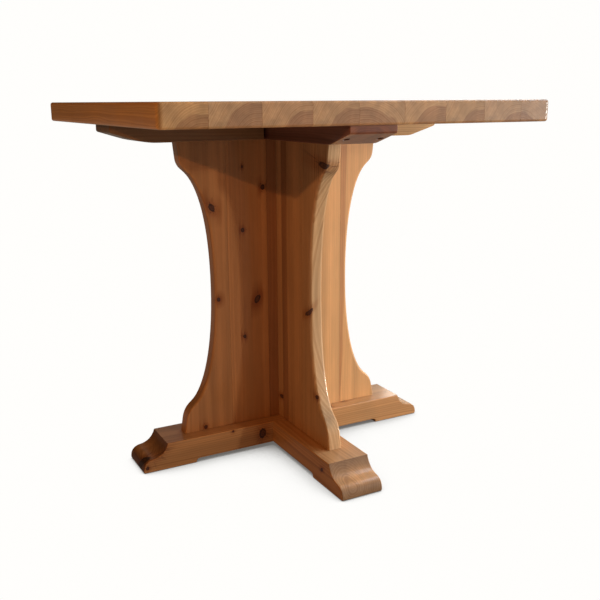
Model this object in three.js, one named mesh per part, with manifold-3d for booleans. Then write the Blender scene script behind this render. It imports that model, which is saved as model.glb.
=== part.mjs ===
// A small square pine pedestal table. Nine glued staves make the thick top. Two crossed battens
// carry it, two shaped planks halved into each other make the column, and two feet halved into
// each other stand on four pads. Screws hold the layers together.
//
// Units are millimetres. X runs across the top's staves, Y runs with their grain, +Z is up, and
// the origin is on the floor under the table's middle. The pieces called "a" lie along X, and
// the pieces called "b" are the same shapes turned to lie along Y.
import * as THREE from "three";
import { mergeVertices } from "three/addons/utils/BufferGeometryUtils.js";
import Module from "manifold-3d";

const wasm = await Module();
wasm.setup();

// ---- Driving dimensions ----

const TABLE_HEIGHT = 730;
const FIT_GAP = 0.3; // left between any two pieces that touch

const TOP_LENGTH = 740;
const TOP_THICKNESS = 40;
const TOP_ARRIS = 5;
const TOP_CORNER = 10; // rounding of the four upright corners, seen from above
const TOP_STAVE_WIDTHS = [79, 88, 89, 87, 90, 86, 86, 86, 71];

const BATTEN_WIDTH = 96;
const BATTEN_HEIGHT = 34;
const BATTEN_NOSE = 14; // height of the upright end above the bevel
const BATTEN_BEVEL = 66;
const BATTEN_ARRIS = 2;
const BATTEN_NOSE_EASE = 4; // rounding between the bevel and the upright end
const BATTEN_A_START = 57; // the two short battens stop this far from the middle

// Each batten's half length, how far its middle line lies off the table's middle, and how softly
// its bevel turns into its underside. A batten runs its whole length unless it starts or stops.
const BATTENS = {
  batten_a_left: { half: 364, offset: 0, ease: 24, stop: -BATTEN_A_START },
  batten_a_right: { half: 364, offset: 0, ease: 8, start: BATTEN_A_START },
  batten_b: { half: 360, offset: 3, ease: 8 },
};

const PLANK_THICKNESS = 29;
const PLANK_ARRIS = 4;
const PLANK_FOOT_HALF = 234;
const PLANK_TOP_HALF = 227;
const PLANK_LOW_SHOULDER_HALF = 226;
const PLANK_HIGH_SHOULDER_HALF = 222;
const PLANK_WAIST_HALF = 157;
const PLANK_SHOULDER_HEIGHT = 47; // from each end of the plank to its shoulder
const PLANK_LOW_SHOULDER_EASE = 20;
const PLANK_HIGH_SHOULDER_EASE = 14;
const PLANK_SHOULDER_SLOPE = { inwards: 46, along: 38 }; // the way the edge leaves a shoulder
const PLANK_WAIST_REACH = 130; // how far the waist's curve stays nearly straight
const PLANK_JOINTS = [-126, -37, 52, 141]; // glue joints between the plank's staves

const FOOT_HALF = 336;
const FOOT_WIDTH = 90;
const FOOT_HEIGHT = 55;
const FOOT_ARRIS = 2;
const FOOT_FLAT_HALF = 283.5;
const FOOT_PAD = 114;
const FOOT_RELIEF = 8; // clearance under the foot between its two pads
const FOOT_HEEL_EASE = 4;
// The toe bulges out to the foot's end and turns into the hollow of the ogee above it.
const TOE_BULGE = { back: 8.5, low: 19, high: 25 };
const TOE_TURN = { back: 18.5, height: 27 };
const TOE_HOLLOW = { out: 8, height: 29.5 };

const SCREW_RADIUS = 2.5;
const SCREW_HEAD_RADIUS = 4.6;
const SCREW_HEAD_HEIGHT = 3;
const SCREW_HEAD_RIM = 0.6;
const SCREW_HEADROOM = 30; // how far a screw's hole runs out past its head
const SCREW_POINT = 6;
const SCREW_SEGMENTS = 12;
const BATTEN_SCREW = { length: 40, fromEnd: 33, fromMiddle: 34, recess: 8, bore: 6.5 };
const PLANK_SCREW = { length: 80, places: [-180, -85, 85, 180], recess: 2 };
const FOOT_SCREW = { length: 90, places: [-180, -85, 85, 180], recess: 6 };

const CURVE_STEPS = 9;
const MERGE_DISTANCE = 1e-3;

// ---- Heights and places that follow from them ----

const TOP_UNDERSIDE = TABLE_HEIGHT - TOP_THICKNESS;
const TOP_WIDTH = TOP_STAVE_WIDTHS.reduce((sum, width) => sum + width, 0);
const BATTEN_TOP = TOP_UNDERSIDE - FIT_GAP;
const BATTEN_UNDERSIDE = TOP_UNDERSIDE - BATTEN_HEIGHT;
const PLANK_TOP = BATTEN_UNDERSIDE - FIT_GAP;
const PLANK_FOOT = FOOT_HEIGHT + FIT_GAP;
const PLANK_MIDDLE = (PLANK_TOP + PLANK_FOOT) / 2;
const FOOT_LAP = (FOOT_RELIEF + FOOT_HEIGHT) / 2;
const OVERSHOOT = 10; // how far a cutting box runs past the piece that it cuts
const QUARTER_TURN = Math.PI / 2;

// ---- Materials ----

function wood(color) {
  return new THREE.MeshStandardMaterial({ color, roughness: 0.5, metalness: 0 });
}

const topWood = (shade) => wood(new THREE.Color(0.66, 0.4, 0.2).multiplyScalar(shade));
const battenWood = () => wood(new THREE.Color(0.5, 0.28, 0.13));
const plankWood = (shade) => wood(new THREE.Color(0.6, 0.34, 0.15).multiplyScalar(shade));
const footWood = () => wood(new THREE.Color(0.58, 0.36, 0.2));
const screwSteel = () =>
  new THREE.MeshStandardMaterial({ color: 0x6b665c, roughness: 0.45, metalness: 0.9 });

// Neighbouring staves come from different boards, so their tones differ a little.
const staveShade = (index) => 0.94 + 0.04 * ((index * 2) % 4);

// ---- Solids ----

// A closed geometry as a solid that can be joined and cut.
function solidFrom(geometry) {
  const bare = geometry.clone();
  bare.deleteAttribute("normal");
  bare.deleteAttribute("uv");
  const merged = mergeVertices(bare, MERGE_DISTANCE);
  const corners = merged.index.array;
  const kept = [];
  for (let i = 0; i < corners.length; i += 3) {
    const [a, b, c] = corners.slice(i, i + 3);
    if (a !== b && b !== c && c !== a) kept.push(a, b, c);
  }
  return new wasm.Manifold(
    new wasm.Mesh({
      numProp: 3,
      vertProperties: merged.attributes.position.array,
      triVerts: new Uint32Array(kept),
    }),
  );
}

function meshFrom(name, solid, material) {
  const { vertProperties, triVerts } = solid.getMesh();
  const geometry = new THREE.BufferGeometry();
  geometry.setAttribute("position", new THREE.BufferAttribute(vertProperties, 3));
  geometry.setIndex(new THREE.BufferAttribute(triVerts, 1));
  geometry.computeVertexNormals();
  const mesh = new THREE.Mesh(geometry, material);
  mesh.name = name;
  return mesh;
}

// A box between two corners.
function boxSolid(low, high) {
  const size = high.map((value, axis) => value - low[axis]);
  const centre = high.map((value, axis) => (value + low[axis]) / 2);
  return solidFrom(new THREE.BoxGeometry(...size).translate(...centre));
}

// An outline given in length and height, extruded across `width` and lying along X, with its
// arrises taken off on both sides.
function boardSolid(points, width, arris) {
  const depth = width - 2 * arris;
  const geometry = new THREE.ExtrudeGeometry(new THREE.Shape(points), {
    depth,
    bevelEnabled: true,
    bevelThickness: arris,
    bevelSize: arris,
    bevelOffset: -arris,
    bevelSegments: 2,
    steps: 1,
  });
  return solidFrom(geometry.translate(0, 0, -depth / 2).rotateX(QUARTER_TURN));
}

// ---- Outlines ----

const point = (x, y) => new THREE.Vector2(x, y);

// Draws towards a corner and rounds it off, ending `reach` past it on the way to `next`.
function roundedCorner(path, corner, next, reach) {
  const before = path.currentPoint.clone().sub(corner).setLength(reach).add(corner);
  const after = next.clone().sub(corner).setLength(reach).add(corner);
  path.lineTo(before.x, before.y);
  path.quadraticCurveTo(corner.x, corner.y, after.x, after.y);
}

// The right half of an outline, drawn upwards from the middle line, made whole.
function mirrored(path) {
  const right = path.getPoints(CURVE_STEPS);
  const left = right.filter((p) => p.x > 0).map((p) => point(-p.x, p.y));
  return [...right, ...left.reverse()];
}

// A batten seen from its side: an upright nose, a long bevel and a flat underside.
function battenOutline({ half, ease }) {
  const bevelStart = point(half - BATTEN_BEVEL, BATTEN_UNDERSIDE);
  const bevelEnd = point(half, TOP_UNDERSIDE - BATTEN_NOSE);
  const path = new THREE.Path();
  path.moveTo(0, BATTEN_UNDERSIDE);
  roundedCorner(path, bevelStart, bevelEnd, ease);
  roundedCorner(path, bevelEnd, point(half, BATTEN_TOP), BATTEN_NOSE_EASE);
  path.lineTo(half, BATTEN_TOP);
  path.lineTo(0, BATTEN_TOP);
  return mirrored(path);
}

// A plank of the column seen from its face: flared ends, a shoulder near each end and a long
// hollow waist between the shoulders.
function plankOutline() {
  const low = point(PLANK_LOW_SHOULDER_HALF, PLANK_FOOT + PLANK_SHOULDER_HEIGHT);
  const high = point(PLANK_HIGH_SHOULDER_HALF, PLANK_TOP - PLANK_SHOULDER_HEIGHT);
  const { inwards, along } = PLANK_SHOULDER_SLOPE;
  const lowHandle = point(low.x - inwards, low.y + along);
  const highHandle = point(high.x - inwards, high.y - along);
  const highEase = highHandle.clone().sub(high).setLength(PLANK_HIGH_SHOULDER_EASE);
  const highStart = high.clone().add(highEase);
  const path = new THREE.Path();
  path.moveTo(0, PLANK_FOOT - OVERSHOOT);
  path.lineTo(PLANK_FOOT_HALF, PLANK_FOOT - OVERSHOOT);
  path.lineTo(PLANK_FOOT_HALF, PLANK_FOOT);
  roundedCorner(path, low, lowHandle, PLANK_LOW_SHOULDER_EASE);
  path.bezierCurveTo(
    lowHandle.x,
    lowHandle.y,
    PLANK_WAIST_HALF,
    PLANK_MIDDLE - PLANK_WAIST_REACH,
    PLANK_WAIST_HALF,
    PLANK_MIDDLE,
  );
  path.bezierCurveTo(
    PLANK_WAIST_HALF,
    PLANK_MIDDLE + PLANK_WAIST_REACH,
    highHandle.x,
    highHandle.y,
    highStart.x,
    highStart.y,
  );
  roundedCorner(path, high, point(PLANK_TOP_HALF, PLANK_TOP), PLANK_HIGH_SHOULDER_EASE);
  path.lineTo(PLANK_TOP_HALF, PLANK_TOP);
  path.lineTo(PLANK_TOP_HALF, PLANK_TOP + OVERSHOOT);
  path.lineTo(0, PLANK_TOP + OVERSHOOT);
  return mirrored(path);
}

// A foot seen from its side: a flat top that falls in an ogee to a rounded toe, and a shallow
// relief underneath that ends in a small cove at each pad.
function footOutline() {
  const padStart = FOOT_HALF - FOOT_PAD;
  const toeTurn = point(FOOT_HALF - TOE_TURN.back, TOE_TURN.height);
  const path = new THREE.Path();
  path.moveTo(0, FOOT_RELIEF);
  path.lineTo(padStart - FOOT_RELIEF, FOOT_RELIEF);
  path.quadraticCurveTo(padStart, FOOT_RELIEF, padStart, 0);
  roundedCorner(path, point(FOOT_HALF, 0), point(FOOT_HALF, FOOT_HEIGHT), FOOT_HEEL_EASE);
  path.bezierCurveTo(
    FOOT_HALF,
    TOE_BULGE.low,
    FOOT_HALF - TOE_BULGE.back,
    TOE_BULGE.high,
    toeTurn.x,
    toeTurn.y,
  );
  path.quadraticCurveTo(
    FOOT_FLAT_HALF + TOE_HOLLOW.out,
    TOE_HOLLOW.height,
    FOOT_FLAT_HALF,
    FOOT_HEIGHT,
  );
  path.lineTo(0, FOOT_HEIGHT);
  return mirrored(path);
}

// ---- Screws ----

// A countersunk screw from the rim of its head to its point, as radius and depth.
function screwProfile(length, clearance) {
  return [
    point(SCREW_HEAD_RADIUS + clearance, SCREW_HEAD_RIM + clearance),
    point(SCREW_RADIUS + clearance, SCREW_HEAD_HEIGHT + clearance),
    point(SCREW_RADIUS + clearance, length - SCREW_POINT + clearance),
    point(0, length + 2 * clearance),
  ];
}

// Where a screw's head is, which way it is driven (+1 is up), how long it is, and the radius of
// the bore that sinks its head.
const screwAt = (x, y, z, way, { length, bore = SCREW_HEAD_RADIUS + FIT_GAP }) => ({
  position: [x, y, z],
  way,
  length,
  bore,
});

function screwHole({ position, way, length, bore }) {
  const profile = [
    point(0, -SCREW_HEADROOM),
    point(bore, -SCREW_HEADROOM),
    point(bore, 0),
    ...screwProfile(length, FIT_GAP),
  ];
  const geometry = new THREE.LatheGeometry(profile, SCREW_SEGMENTS);
  return solidFrom(geometry.rotateX(way * QUARTER_TURN).translate(...position));
}

function screwMesh(name, { position, way, length }) {
  const profile = [point(0, 0), point(SCREW_HEAD_RADIUS, 0), ...screwProfile(length, 0)];
  const mesh = new THREE.Mesh(new THREE.LatheGeometry(profile, SCREW_SEGMENTS), screwSteel());
  mesh.name = name;
  mesh.rotation.x = way * QUARTER_TURN;
  mesh.position.set(...position);
  return mesh;
}

// The screws are laid out for pieces that lie along X.
function battenScrews({ half, offset }) {
  const { fromEnd, fromMiddle, recess } = BATTEN_SCREW;
  const x = half - fromEnd;
  const bevelDrop = (BATTEN_HEIGHT - BATTEN_NOSE) * (1 - fromEnd / BATTEN_BEVEL);
  const z = BATTEN_UNDERSIDE + bevelDrop + recess;
  return [-x, x].flatMap((end) =>
    [offset - fromMiddle, offset + fromMiddle].map((side) => screwAt(end, side, z, 1, BATTEN_SCREW)),
  );
}

const plankScrews = PLANK_SCREW.places.map((x) =>
  screwAt(x, 0, BATTEN_TOP - PLANK_SCREW.recess, -1, PLANK_SCREW),
);
const footScrews = FOOT_SCREW.places.map((x) =>
  screwAt(x, 0, FOOT_RELIEF + FOOT_SCREW.recess, 1, FOOT_SCREW),
);

const turned = (screw) => {
  const [x, y, z] = screw.position;
  return { ...screw, position: [-y, x, z] };
};

const drilled = (solid, screws) =>
  screws.reduce((rest, screw) => rest.subtract(screwHole(screw)), solid);

// ---- Sub-assemblies ----

// A board parted into its staves at glue joints, which are given as places along X.
function staves(name, board, joints, material) {
  const { min, max } = board.boundingBox();
  const edges = [min[0] - OVERSHOOT, ...joints, max[0] + OVERSHOOT];
  const group = new THREE.Group();
  edges.slice(1).forEach((right, index) => {
    const slice = boxSolid(
      [edges[index] + FIT_GAP / 2, min[1] - OVERSHOOT, min[2] - OVERSHOOT],
      [right - FIT_GAP / 2, max[1] + OVERSHOOT, max[2] + OVERSHOOT],
    );
    const stave = board.intersect(slice);
    group.add(meshFrom(`${name}_stave_${index + 1}`, stave, material(staveShade(index))));
  });
  return group;
}

// The places of the glue joints between the top's staves.
function topJoints() {
  let place = -TOP_WIDTH / 2;
  return TOP_STAVE_WIDTHS.slice(0, -1).map((width) => {
    place += width;
    return place;
  });
}

// The top seen from above: a rectangle with soft corners.
function topOutline() {
  const [right, back] = [TOP_WIDTH / 2, TOP_LENGTH / 2];
  const start = point(0, -back);
  const corners = [point(right, -back), point(right, back), point(-right, back), point(-right, -back)];
  const outline = new THREE.Shape();
  outline.moveTo(start.x, start.y);
  corners.forEach((corner, index) => {
    roundedCorner(outline, corner, corners[index + 1] ?? start, TOP_CORNER);
  });
  return outline;
}

function tableTop() {
  const slab = solidFrom(
    new THREE.ExtrudeGeometry(topOutline(), {
      depth: TOP_THICKNESS - 2 * TOP_ARRIS,
      bevelThickness: TOP_ARRIS,
      bevelSize: TOP_ARRIS,
      bevelOffset: -TOP_ARRIS,
      bevelSegments: 3,
      curveSegments: 4,
    }).translate(0, 0, TOP_UNDERSIDE + TOP_ARRIS),
  );
  const screws = [
    ...battenScrews(BATTENS.batten_a_left),
    ...battenScrews(BATTENS.batten_b).map(turned),
  ];
  return staves("top", drilled(slab, screws), topJoints(), topWood);
}

// The whole batten, or the part of it from where it starts to where it stops.
function batten(name) {
  const size = BATTENS[name];
  const { half, offset, start = -half - OVERSHOOT, stop = half + OVERSHOOT } = size;
  const whole = boardSolid(battenOutline(size), BATTEN_WIDTH, BATTEN_ARRIS);
  const kept = boxSolid(
    [start, -BATTEN_WIDTH, BATTEN_UNDERSIDE - OVERSHOOT],
    [stop, BATTEN_WIDTH, BATTEN_TOP + OVERSHOOT],
  );
  const bar = whole.translate([0, offset, 0]).intersect(kept);
  return meshFrom(name, drilled(bar, [...battenScrews(size), ...plankScrews]), battenWood());
}

// One plank of the column as its glued staves. The slot that halves it into the other plank
// runs from `slotFrom` to `slotTo`.
function plankStaves(name, slotFrom, slotTo) {
  const slotHalf = PLANK_THICKNESS / 2 + FIT_GAP;
  const slot = boxSolid([-slotHalf, -PLANK_THICKNESS, slotFrom], [slotHalf, PLANK_THICKNESS, slotTo]);
  const reach = PLANK_FOOT_HALF + OVERSHOOT;
  const trim = boxSolid([-reach, -PLANK_THICKNESS, PLANK_FOOT], [reach, PLANK_THICKNESS, PLANK_TOP]);
  const board = boardSolid(plankOutline(), PLANK_THICKNESS, PLANK_ARRIS);
  const ready = drilled(board.intersect(trim).subtract(slot), [...plankScrews, ...footScrews]);
  return staves(name, ready, PLANK_JOINTS, plankWood);
}

// A foot with the notch that halves it into the other foot, from `notchFrom` up to `notchTo`.
function foot(name, notchFrom, notchTo) {
  const notchHalf = FOOT_WIDTH / 2 + FIT_GAP;
  const notch = boxSolid([-notchHalf, -notchHalf, notchFrom], [notchHalf, notchHalf, notchTo]);
  const bar = boardSolid(footOutline(), FOOT_WIDTH, FOOT_ARRIS).subtract(notch);
  return meshFrom(name, drilled(bar, footScrews), footWood());
}

// The screws of the pieces that lie along one direction, named after that direction.
function screwSet(direction, battenSize) {
  const kinds = {
    batten_screw: battenScrews(battenSize),
    plank_screw: plankScrews,
    foot_screw: footScrews,
  };
  const group = new THREE.Group();
  Object.entries(kinds).forEach(([kind, screws]) => {
    screws.forEach((screw, index) => {
      group.add(screwMesh(`${kind}_${direction}${index + 1}`, screw));
    });
  });
  return group;
}

// ---- The table ----

// Foot a laps over foot b, and plank a's slot opens downwards over plank b.
function piecesAlongX() {
  const group = new THREE.Group();
  group.add(
    batten("batten_a_left"),
    batten("batten_a_right"),
    plankStaves("plank_a", PLANK_FOOT - OVERSHOOT, PLANK_MIDDLE + FIT_GAP / 2),
    foot("foot_a", -OVERSHOOT, FOOT_LAP + FIT_GAP / 2),
    screwSet("a", BATTENS.batten_a_left),
  );
  return group;
}

function piecesAlongY() {
  const group = new THREE.Group();
  group.add(
    batten("batten_b"),
    plankStaves("plank_b", PLANK_MIDDLE - FIT_GAP / 2, PLANK_TOP + OVERSHOOT),
    foot("foot_b", FOOT_LAP - FIT_GAP / 2, FOOT_HEIGHT + OVERSHOOT),
    screwSet("b", BATTENS.batten_b),
  );
  group.rotation.z = QUARTER_TURN;
  return group;
}

const table = new THREE.Group();
table.name = "pine_pedestal_table";
table.add(tableTop(), piecesAlongX(), piecesAlongY());

export default table;
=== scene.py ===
"""Looks of the pine pedestal table, in metres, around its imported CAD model.

Every wooden piece is rebuilt as a board with finely rounded arrises, and every screw as a turned
piece with a cross recess. A wooden piece's own origin lies on the pith of its tree and its own Z
axis runs along the grain, so one wood material can draw rings, fibres and knots on all its faces.
"""

import math
from dataclasses import dataclass

import bmesh
import bpy
from mathutils import Matrix, Vector


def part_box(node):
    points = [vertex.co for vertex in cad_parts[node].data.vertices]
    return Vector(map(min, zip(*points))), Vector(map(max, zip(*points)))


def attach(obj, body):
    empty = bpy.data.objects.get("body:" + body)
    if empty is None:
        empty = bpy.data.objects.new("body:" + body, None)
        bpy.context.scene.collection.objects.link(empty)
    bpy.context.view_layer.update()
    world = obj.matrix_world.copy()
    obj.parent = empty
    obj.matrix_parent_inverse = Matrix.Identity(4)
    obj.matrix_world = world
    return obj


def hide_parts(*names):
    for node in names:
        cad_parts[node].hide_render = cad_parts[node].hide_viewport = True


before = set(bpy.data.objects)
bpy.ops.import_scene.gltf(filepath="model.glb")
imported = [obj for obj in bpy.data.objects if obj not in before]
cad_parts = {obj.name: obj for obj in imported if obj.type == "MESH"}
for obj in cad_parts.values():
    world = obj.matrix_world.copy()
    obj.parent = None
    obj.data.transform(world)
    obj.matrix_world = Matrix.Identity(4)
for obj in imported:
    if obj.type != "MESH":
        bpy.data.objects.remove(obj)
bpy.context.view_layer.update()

# ---- Sizes of the finer shapes, in metres ----

CURVE_STEPS = 16
ARRIS_STEPS = 5
SMOOTH_BELOW = math.radians(30)  # edges that turn by less than this are shaded smooth

FIT_GAP = 0.0003  # left between any two pieces that touch
OVERSHOOT = 0.010  # how far a board runs out before it is trimmed to length

TOP_ARRIS = 0.005
TOP_CORNER = 0.010

BATTEN_ARRIS = 0.002
BATTEN_NOSE = 0.014  # height of the upright end above the bevel
BATTEN_NOSE_EASE = 0.004
BATTEN_BEVEL = 0.066
BATTEN_EASE = {"batten_a_left": 0.024, "batten_a_right": 0.008, "batten_b": 0.008}
BATTEN_SCREW_BORE = 0.0065

PLANK_END_ARRIS = 0.003
PLANK_WAIST_ARRIS = 0.006
PLANK_ARRIS_RAMP = 0.025  # height over which the arris grows from the one to the other
PLANK_FOOT_HALF = 0.234
PLANK_TOP_HALF = 0.227
PLANK_LOW_SHOULDER_HALF = 0.226
PLANK_HIGH_SHOULDER_HALF = 0.222
PLANK_SHOULDER_HEIGHT = 0.047  # from each end of the plank to its shoulder
PLANK_LOW_SHOULDER_EASE = 0.020
PLANK_HIGH_SHOULDER_EASE = 0.014
PLANK_SHOULDER_SLOPE = Vector((0.046, 0.038))  # the way the edge leaves a shoulder
PLANK_WAIST_HALF = 0.157
PLANK_WAIST_REACH = 0.130

FOOT_ARRIS = 0.002
FOOT_FLAT_HALF = 0.2835
FOOT_PAD = 0.114
FOOT_RELIEF = 0.008
FOOT_RELIEF_STEPS = 6
FOOT_HEEL_EASE = 0.004
# Along the toe, from its bulge up to the hollow: distance back from the foot's end, and height.
TOE_BULGE_LOW = Vector((0, 0.019))
TOE_BULGE_HIGH = Vector((0.0085, 0.025))
TOE_TURN = Vector((0.0185, 0.027))
TOE_HOLLOW_OUT = 0.008
TOE_HOLLOW_HEIGHT = 0.0295

SCREW_RADIUS = 0.0025
SCREW_CORE_RADIUS = 0.00175
SCREW_NECK_RADIUS = 0.00225
SCREW_PITCH = 0.0024
SCREW_RIDGE_HALF = 0.3  # half the width of a thread's ridge, over the pitch
SCREW_TIP_START = 0.8  # radius where the point begins, over the core's
SCREW_POINT = 0.006
SCREW_NECK_SHARE = 0.4  # how much of a screw's length has no thread
SCREW_HEAD_RADIUS = 0.0046
SCREW_HEAD_RIM = 0.0003
SCREW_HEAD_HEIGHT = 0.003
SCREW_RECESS_DEPTH = 0.0018
SCREW_RECESS_CLEAR = 0.001  # how far its cutter stands out of the head
SCREW_RECESS_ARM = (0.0024, 0.0005)  # half its length and half its width
SCREW_HEADROOM = 0.030  # how far a screw's hole runs out past its head
SCREW_SEGMENTS = 24
SCREWS_IN_A_ROW = 4

# ---- Places taken from the frame ----


def whole_box(nodes):
    """The lowest and the highest corner of several CAD nodes together."""
    boxes = [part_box(node) for node in nodes]
    low = Vector(min(box[0][axis] for box in boxes) for axis in range(3))
    high = Vector(max(box[1][axis] for box in boxes) for axis in range(3))
    return low, high


def numbered(name, count):
    return [f"{name}{index}" for index in range(1, count + 1)]


def screws(way, *kinds):
    """The screws of these kinds that stand in a row along X (way "a") or along Y (way "b")."""
    rows = [numbered(f"{kind}_screw_{way}", SCREWS_IN_A_ROW) for kind in kinds]
    return [name for row in rows for name in row]


TOP_STAVES = numbered("top_stave_", 9)
PLANK_STAVES = {way: numbered(f"plank_{way}_stave_", 5) for way in "ab"}

TOP_LOW, TOP_HIGH = whole_box(TOP_STAVES)
BATTEN_LOW, BATTEN_HIGH = whole_box(["batten_a_left", "batten_a_right"])
PLANK_LOW, PLANK_HIGH = whole_box(PLANK_STAVES["a"])
FOOT_LOW, FOOT_HIGH = whole_box(["foot_a"])
PLANK_THICKNESS = PLANK_HIGH.y - PLANK_LOW.y
PLANK_MIDDLE = (PLANK_LOW.z + PLANK_HIGH.z) / 2
FOOT_WIDTH = FOOT_HIGH.y - FOOT_LOW.y
FOOT_LAP = (FOOT_RELIEF + FOOT_HIGH.z) / 2

# Pieces "a" lie along X. Pieces "b" are made along X too and then turned to lie along Y.
TURN = {"a": Matrix.Identity(4), "b": Matrix.Rotation(math.pi / 2, 4, "Z")}

# ---- Outlines, as points of length and height ----


def curve(*controls, steps=CURVE_STEPS):
    """Points along the Bezier curve with these control points, after its first one."""
    made = []
    for step in range(1, steps + 1):
        level = list(controls)
        while len(level) > 1:
            level = [a.lerp(b, step / steps) for a, b in zip(level, level[1:])]
        made.append(level[0])
    return made


def rounded(before, corner, after, reach):
    """A corner rounded off from `reach` before it to `reach` past it."""
    start = corner + (before - corner).normalized() * reach
    end = corner + (after - corner).normalized() * reach
    return [start, *curve(start, corner, end, steps=CURVE_STEPS // 2)]


def mirrored(right):
    """The right half of an outline, drawn upwards from the middle line, made whole."""
    return right + [Vector((-point.x, point.y)) for point in reversed(right) if point.x > 0]


def batten_outline(half_length, ease):
    """A batten: an upright nose, a long bevel that eases into a flat underside."""
    low, high = BATTEN_LOW.z, BATTEN_HIGH.z
    bottom = Vector((0, low))
    bevel_start = Vector((half_length - BATTEN_BEVEL, low))
    bevel_end = Vector((half_length, TOP_LOW.z - BATTEN_NOSE))
    end = Vector((half_length, high))
    return mirrored([
        bottom,
        *rounded(bottom, bevel_start, bevel_end, ease),
        *rounded(bevel_start, bevel_end, end, BATTEN_NOSE_EASE),
        end,
        Vector((0, high)),
    ])


def plank_outline():
    """A plank of the column: flared ends, a shoulder near each end, and a hollow waist."""
    foot, top = PLANK_LOW.z, PLANK_HIGH.z
    low = Vector((PLANK_LOW_SHOULDER_HALF, foot + PLANK_SHOULDER_HEIGHT))
    high = Vector((PLANK_HIGH_SHOULDER_HALF, top - PLANK_SHOULDER_HEIGHT))
    low_handle = low + Vector((-PLANK_SHOULDER_SLOPE.x, PLANK_SHOULDER_SLOPE.y))
    high_handle = high - PLANK_SHOULDER_SLOPE
    waist = Vector((PLANK_WAIST_HALF, PLANK_MIDDLE))
    reach = Vector((0, PLANK_WAIST_REACH))
    foot_end = Vector((PLANK_FOOT_HALF, foot))
    top_end = Vector((PLANK_TOP_HALF, top))
    low_corner = rounded(foot_end, low, low_handle, PLANK_LOW_SHOULDER_EASE)
    high_corner = rounded(high_handle, high, top_end, PLANK_HIGH_SHOULDER_EASE)
    return mirrored([
        Vector((0, foot - OVERSHOOT)),
        Vector((PLANK_FOOT_HALF, foot - OVERSHOOT)),
        foot_end,
        *low_corner,
        *curve(low_corner[-1], low_handle, waist - reach, waist),
        *curve(waist, waist + reach, high_handle, high_corner[0]),
        *high_corner[1:],
        top_end,
        Vector((PLANK_TOP_HALF, top + OVERSHOOT)),
        Vector((0, top + OVERSHOOT)),
    ])


def plank_arris(height):
    """A plank's arris at a height: small on the flared ends, and large along the waist."""
    from_end = min(height - PLANK_LOW.z, PLANK_HIGH.z - height)
    share = min(max((from_end - PLANK_SHOULDER_HEIGHT) / PLANK_ARRIS_RAMP, 0.0), 1.0)
    return PLANK_END_ARRIS + (PLANK_WAIST_ARRIS - PLANK_END_ARRIS) * share


def foot_outline():
    """A foot: a flat top falling in an ogee to a rounded toe, and a relief between two pads."""
    half, height = FOOT_HIGH.x, FOOT_HIGH.z
    pad = half - FOOT_PAD
    relief_end = Vector((pad - FOOT_RELIEF, FOOT_RELIEF))
    pad_start = Vector((pad, 0))
    heel = rounded(pad_start, Vector((half, 0)), Vector((half, height)), FOOT_HEEL_EASE)
    bulge = [Vector((half - back, up)) for back, up in (TOE_BULGE_LOW, TOE_BULGE_HIGH, TOE_TURN)]
    hollow = Vector((FOOT_FLAT_HALF + TOE_HOLLOW_OUT, TOE_HOLLOW_HEIGHT))
    return mirrored([
        Vector((0, FOOT_RELIEF)),
        relief_end,
        *curve(relief_end, Vector((pad, FOOT_RELIEF)), pad_start, steps=FOOT_RELIEF_STEPS),
        *heel,
        *curve(heel[-1], *bulge),
        *curve(bulge[-1], hollow, Vector((FOOT_FLAT_HALF, height))),
        Vector((0, height)),
    ])


def top_outline():
    """The top seen from above: a rectangle with soft corners."""
    sides = ((1, -1), (1, 1), (-1, 1), (-1, -1))
    corners = [Vector((x * TOP_HIGH.x, y * TOP_HIGH.y)) for x, y in sides]
    outline = []
    for index, corner in enumerate(corners):
        following = corners[(index + 1) % len(corners)]
        outline += rounded(corners[index - 1], corner, following, TOP_CORNER)
    return outline


# ---- Solids ----


def inset(outline, distances):
    """The outline drawn in along the bisectors of its corners, by a distance for each point."""
    moved = []
    for index, (point, distance) in enumerate(zip(outline, distances)):
        before = (point - outline[index - 1]).normalized()
        after = (outline[(index + 1) % len(outline)] - point).normalized()
        inward = Vector((-before.y - after.y, before.x + after.x))
        moved.append(point + inward * distance / (1 + before.dot(after)))
    return moved


def board(outline, thickness, arrises):
    """The outline extruded along Y about the middle plane, with its rims rounded over.

    Each point of the outline has its own arris. The point layer "wear" is 1 along the middle of
    each rounded rim, where varnish rubs thin.
    """
    made = bmesh.new()
    wear = made.verts.layers.float.new("wear")
    angles = [math.pi / 2 * step / ARRIS_STEPS for step in range(ARRIS_STEPS + 1)]
    rings = []
    for side, turns in ((1, angles), (-1, angles[::-1])):
        for angle in turns:
            drawn_in = [arris * (1 - math.sin(angle)) for arris in arrises]
            ring = []
            for point, arris in zip(inset(outline, drawn_in), arrises):
                y = thickness / 2 - arris * (1 - math.cos(angle))
                ring.append(made.verts.new((point.x, side * y, point.y)))
                ring[-1][wear] = math.sin(2 * angle)
            rings.append(ring)
    for ring, following in zip(rings, rings[1:]):
        for index in range(len(ring)):
            before = index - 1
            made.faces.new((ring[before], ring[index], following[index], following[before]))
    made.faces.new(rings[0])
    made.faces.new(reversed(rings[-1]))
    bmesh.ops.recalc_face_normals(made, faces=made.faces)
    return made


def trim(solid, axis, low, high):
    """Cuts away what lies beyond `low` and `high` along an axis and closes the cuts."""
    for place, side in ((low, -1), (high, 1)):
        normal = Vector((0, 0, 0))
        normal[axis] = side
        point = Vector((0, 0, 0))
        point[axis] = place
        everything = [*solid.verts, *solid.edges, *solid.faces]
        bmesh.ops.bisect_plane(
            solid, geom=everything, plane_co=point, plane_no=normal, clear_outer=True,
        )
        rim = [edge for edge in solid.edges if edge.is_boundary]
        if rim:
            bmesh.ops.edgeloop_fill(solid, edges=rim)
    bmesh.ops.recalc_face_normals(solid, faces=solid.faces)


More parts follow.
